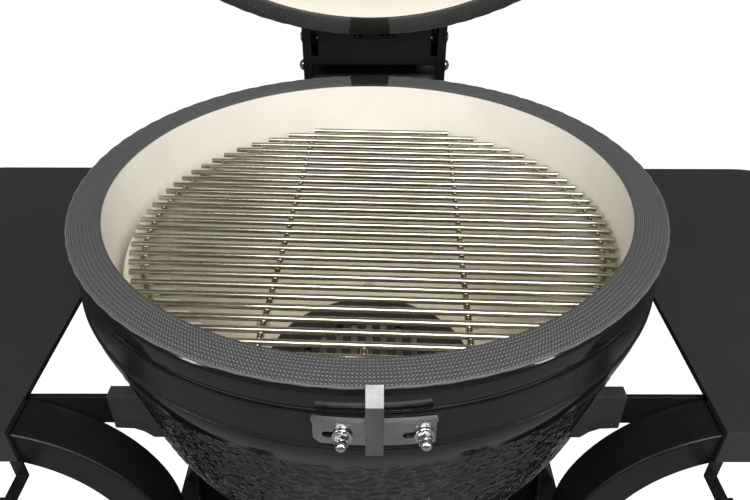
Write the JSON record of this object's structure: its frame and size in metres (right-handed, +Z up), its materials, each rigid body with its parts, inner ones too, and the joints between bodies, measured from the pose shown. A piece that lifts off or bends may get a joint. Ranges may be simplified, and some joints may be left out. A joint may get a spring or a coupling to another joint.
{
  "type": "kamado ceramic grill",
  "caption": "Egg-shaped ceramic charcoal grill on a wheeled cart with folded steel side shelves, round rod grate and a hinged domed lid, shown open.",
  "frame": {"origin": "on the floor, under the middle of the whole grill's box with the lid open", "axes": "+Z up, +Y to the hinge at the back, +X to the right seen from the front"},
  "size_m": [1.064, 0.682, 1.4101],
  "materials": {
    "glazed_shell": "gloss black glaze, pebbled",
    "bare_ceramic": "unglazed cream, matt",
    "gasket_felt": "woven fibre gasket, dark grey",
    "gasket_patch": "smooth black splice strip",
    "black_steel": "satin black powder coat",
    "shelf_steel": "fine-textured charcoal powder coat",
    "stainless": "brushed stainless steel",
    "dark_iron": "matt cast iron",
    "spring_steel": "blackened spring wire",
    "boot_rubber": "dark grey moulded rubber",
    "wheel_rubber": "black wheel",
    "needle_red": "red paint"
  },
  "bodies": {
    "base": {"base_shell": "glazed_shell", "fire_ring": "bare_ceramic", "fire_box": "bare_ceramic", "base_gasket": "gasket_felt", "base_gasket_patch": "gasket_patch", "base_band": "black_steel", "hinge_base_bracket": "black_steel", "cradle": "black_steel", "cross_rail_front": "black_steel", "cross_rail_rear": "black_steel", "side_rail_left": "black_steel", "side_rail_right": "black_steel", "tool_hook_left": "black_steel", "tool_hook_right": "black_steel", "leg_front_left": "black_steel", "leg_front_right": "black_steel", "leg_rear_left": "black_steel", "leg_rear_right": "black_steel", "shelf_left": "shelf_steel", "shelf_right": "shelf_steel", "latch_bracket": "stainless", "latch_nut_left": "stainless", "latch_nut_right": "stainless", "hinge_rod": "stainless", "hinge_bolt_left": "stainless", "hinge_bolt_right": "stainless", "draft_frame": "stainless", "draft_screen": "stainless", "hinge_spring": "spring_steel", "pad_front_left": "boot_rubber", "pad_front_right": "boot_rubber", "pad_rear_left": "boot_rubber", "pad_rear_right": "boot_rubber"},
    "lid": {"lid_dome": "glazed_shell", "lid_band": "black_steel", "lid_gasket": "gasket_felt", "lid_gasket_patch": "gasket_patch", "hinge_lid_bracket": "black_steel", "handle_bracket_left": "black_steel", "handle_bracket_right": "black_steel", "handle_grip": "stainless", "vent_collar": "dark_iron", "thermometer_case": "stainless"},
    "vent_disc": {"vent_disc": "dark_iron"},
    "needle": {"thermometer_needle": "needle_red"},
    "latch": {"latch_strap": "stainless"},
    "draft_door": {"draft_door": "stainless"},
    "cooking_grate": {"cooking_grate": "stainless"},
    "charcoal_grate": {"charcoal_grate": "dark_iron"},
    "fork_front_left": {"caster_fork_front_left": "stainless"},
    "wheel_front_left": {"caster_wheel_front_left": "wheel_rubber"},
    "fork_front_right": {"caster_fork_front_right": "stainless"},
    "wheel_front_right": {"caster_wheel_front_right": "wheel_rubber"},
    "fork_rear_left": {"caster_fork_rear_left": "stainless"},
    "wheel_rear_left": {"caster_wheel_rear_left": "wheel_rubber"},
    "fork_rear_right": {"caster_fork_rear_right": "stainless"},
    "wheel_rear_right": {"caster_wheel_rear_right": "wheel_rubber"},
    "pedal_left": {"brake_pedal_left": "black_steel"},
    "pedal_right": {"brake_pedal_right": "black_steel"}
  },
  "joints": [
    {"name": "lid_hinge", "type": "hinge", "parent": "base", "child": "lid", "pos_m": [0, 0.26268, 0.851], "axis": [1, 0, 0], "range_deg": [0, 54.4], "stiffness_Nm_per_rad": 44, "springref_deg": -57.3},
    {"name": "vent_turn", "type": "hinge", "parent": "lid", "child": "vent_disc", "pos_m": [0, 0.30012, 1.26767], "axis": [0, 0.8131, 0.5821], "range_deg": [0, 36]},
    {"name": "needle_turn", "type": "hinge", "parent": "lid", "child": "needle", "pos_m": [0, 0.0463, 1.37697], "axis": [0, 0.0139, -0.9999], "range_deg": [0, 270]},
    {"name": "latch_swing", "type": "hinge", "parent": "base", "child": "latch", "pos_m": [0.0055, -0.33272, 0.771], "axis": [1, 0, 0], "range_deg": [0, 35], "stiffness_Nm_per_rad": 0.3, "springref_deg": -20.05},
    {"name": "draft_slide", "type": "slide", "parent": "base", "child": "draft_door", "axis": [1, 0, 0], "range_m": [0, 0.088]},
    {"name": "cooking_grate_lift", "type": "slide", "parent": "base", "child": "cooking_grate", "axis": [0, 0, 1], "range_m": [0, 0.12]},
    {"name": "charcoal_grate_lift", "type": "slide", "parent": "base", "child": "charcoal_grate", "axis": [0, 0, 1], "range_m": [0, 0.15]},
    {"name": "swivel_front_left", "type": "hinge", "parent": "base", "child": "fork_front_left", "pos_m": [-0.297, -0.26932, 0.091], "axis": [0, 0, 1], "continuous": true},
    {"name": "roll_front_left", "type": "hinge", "parent": "fork_front_left", "child": "wheel_front_left", "pos_m": [-0.297, -0.29132, 0.034], "axis": [1, 0, 0], "continuous": true},
    {"name": "brake_left", "type": "hinge", "parent": "fork_front_left", "child": "pedal_left", "pos_m": [-0.297, -0.29232, 0.0796], "axis": [1, 0, 0], "range_deg": [0, 10]},
    {"name": "swivel_front_right", "type": "hinge", "parent": "base", "child": "fork_front_right", "pos_m": [0.297, -0.26932, 0.091], "axis": [0, 0, 1], "continuous": true},
    {"name": "roll_front_right", "type": "hinge", "parent": "fork_front_right", "child": "wheel_front_right", "pos_m": [0.297, -0.29132, 0.034], "axis": [1, 0, 0], "continuous": true},
    {"name": "brake_right", "type": "hinge", "parent": "fork_front_right", "child": "pedal_right", "pos_m": [0.297, -0.29232, 0.0796], "axis": [1, 0, 0], "range_deg": [0, 10]},
    {"name": "swivel_rear_left", "type": "hinge", "parent": "base", "child": "fork_rear_left", "pos_m": [-0.297, 0.14968, 0.091], "axis": [0, 0, 1], "continuous": true},
    {"name": "roll_rear_left", "type": "hinge", "parent": "fork_rear_left", "child": "wheel_rear_left", "pos_m": [-0.297, 0.12768, 0.034], "axis": [1, 0, 0], "continuous": true},
    {"name": "swivel_rear_right", "type": "hinge", "parent": "base", "child": "fork_rear_right", "pos_m": [0.297, 0.14968, 0.091], "axis": [0, 0, 1], "continuous": true},
    {"name": "roll_rear_right", "type": "hinge", "parent": "fork_rear_right", "child": "wheel_rear_right", "pos_m": [0.297, 0.12768, 0.034], "axis": [1, 0, 0], "continuous": true}
  ]
}
